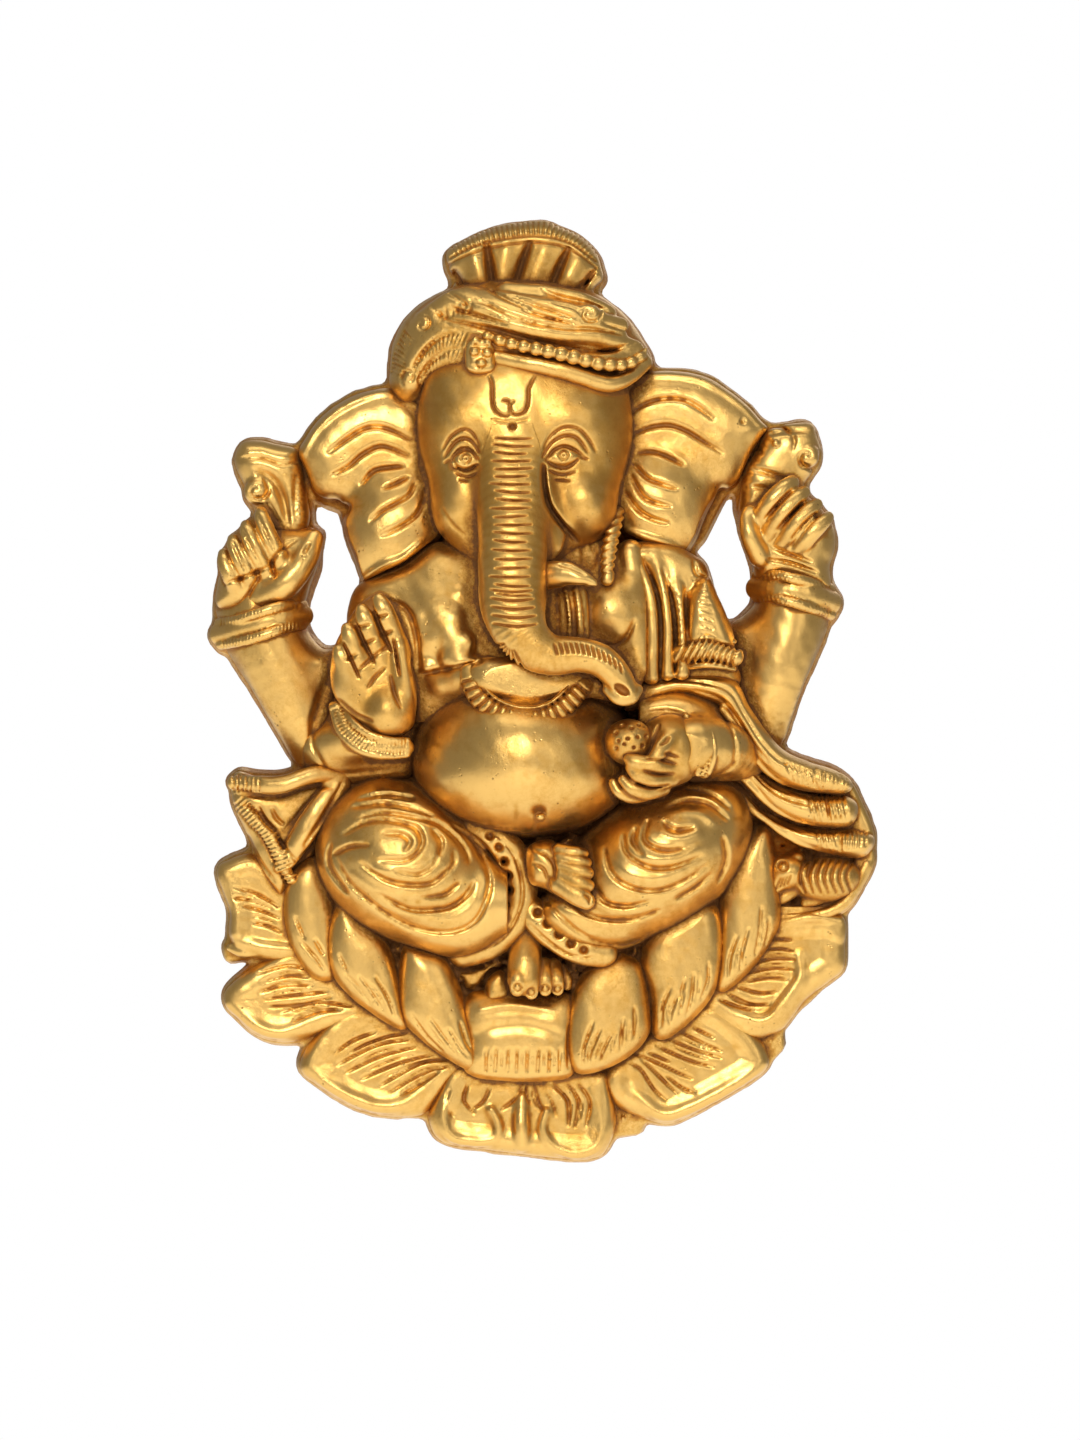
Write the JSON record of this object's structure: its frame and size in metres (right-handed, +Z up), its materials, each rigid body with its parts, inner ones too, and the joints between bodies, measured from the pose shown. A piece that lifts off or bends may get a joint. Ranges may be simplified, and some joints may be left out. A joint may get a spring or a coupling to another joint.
{
  "type": "ganesha wall plaque",
  "caption": "Hollow-backed brass wall plaque of a seated four-armed Ganesha on a lotus, with a swinging hanging ring.",
  "frame": {"origin": "the point in the plane of the wall where the swung-up hanging ring bears on a nail, on the plaque's centre line", "axes": "+Z up the plaque, -Y out of the wall towards the viewer, +X to the viewer's right, +Y into the wall"},
  "size_m": [0.1786, 0.0504, 0.2546],
  "materials": {
    "cast_brass": "polished high spots over a dark brown antique patina",
    "cast_ground": "as-cast, brown antique patina",
    "strap_brass": "plain rolled strip",
    "ring_wire": "drawn wire",
    "screw_steel": "zinc plated"
  },
  "bodies": {
    "root": {"back_plate": "cast_ground", "bangles_left": "cast_brass", "bangles_right": "cast_brass", "belly": "cast_brass", "blessing_cuff": "cast_brass", "blessing_forearm": "cast_brass", "blessing_hand": "cast_brass", "chest": "cast_brass", "chest_drape": "cast_brass", "ear_left": "cast_brass", "ear_right": "cast_brass", "earring_rope": "cast_brass", "emblem_left": "cast_brass", "emblem_right": "cast_brass", "foot_folded": "cast_brass", "foot_hanging": "cast_brass", "hanger_screws": "screw_steel", "hanger_strap": "strap_brass", "head": "cast_brass", "hem_left": "cast_brass", "hem_right": "cast_brass", "mouse": "cast_brass", "mouse_ledge": "cast_brass", "necklace": "cast_brass", "petal_inner_centre": "cast_brass", "petal_inner_left_1": "cast_brass", "petal_inner_left_2": "cast_brass", "petal_inner_left_3": "cast_brass", "petal_inner_right_1": "cast_brass", "petal_inner_right_2": "cast_brass", "petal_inner_right_3": "cast_brass", "petal_outer_centre": "cast_brass", "petal_outer_left_1": "cast_brass", "petal_outer_left_2": "cast_brass", "petal_outer_left_3": "cast_brass", "petal_outer_right_1": "cast_brass", "petal_outer_right_2": "cast_brass", "rear_arm_left": "cast_brass", "rear_arm_right": "cast_brass", "rear_hand_left": "cast_brass", "rear_hand_right": "cast_brass", "rope_armlet": "cast_brass", "shawl_left": "cast_brass", "shawl_right": "cast_brass", "sweet_bowl": "cast_brass", "sweet_bracelet": "cast_brass", "sweet_forearm": "cast_brass", "sweet_hand": "cast_brass", "thigh_left": "cast_brass", "thigh_right": "cast_brass", "trunk": "cast_brass", "turban_beads": "cast_brass", "turban_brooch": "cast_brass", "turban_plume": "cast_brass", "turban_wrap": "cast_brass", "tusk": "cast_brass"},
    "hanging_ring": {"hanging_ring": "ring_wire"}
  },
  "joints": [
    {"name": "ring_swing", "type": "hinge", "parent": "root", "child": "hanging_ring", "pos_m": [0, -0.0039, -0.015], "axis": [1, 0, 0], "range_deg": [0, 180]}
  ]
}
